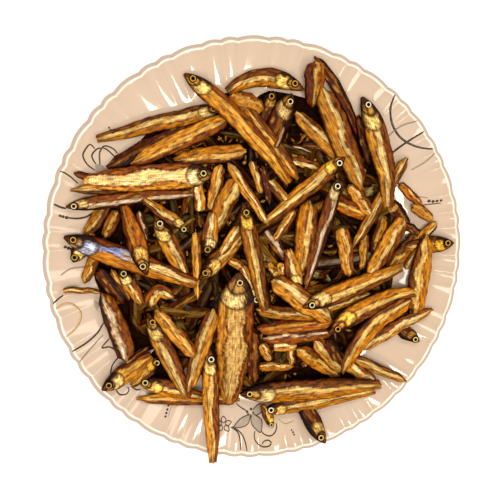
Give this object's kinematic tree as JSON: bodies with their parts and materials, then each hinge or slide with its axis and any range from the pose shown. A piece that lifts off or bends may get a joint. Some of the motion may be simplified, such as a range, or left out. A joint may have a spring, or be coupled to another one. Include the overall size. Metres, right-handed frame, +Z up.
{
  "type": "plate of dried chela fish",
  "caption": "Round scalloped plate with a fluted wall, heaped with small whole and split dried fish.",
  "frame": {"origin": "centre of the plate on the surface that its foot ring stands on", "axes": "+Z up out of the plate, +Y towards the top of the picture, +X towards its right"},
  "size_m": [0.2696, 0.2696, 0.0361],
  "materials": {
    "glazed_cream": "glossy",
    "dried_fish": "oily satin"
  },
  "bodies": {
    "root": {"plate": "glazed_cream", "fish_heap": "dried_fish"}
  },
  "joints": []
}
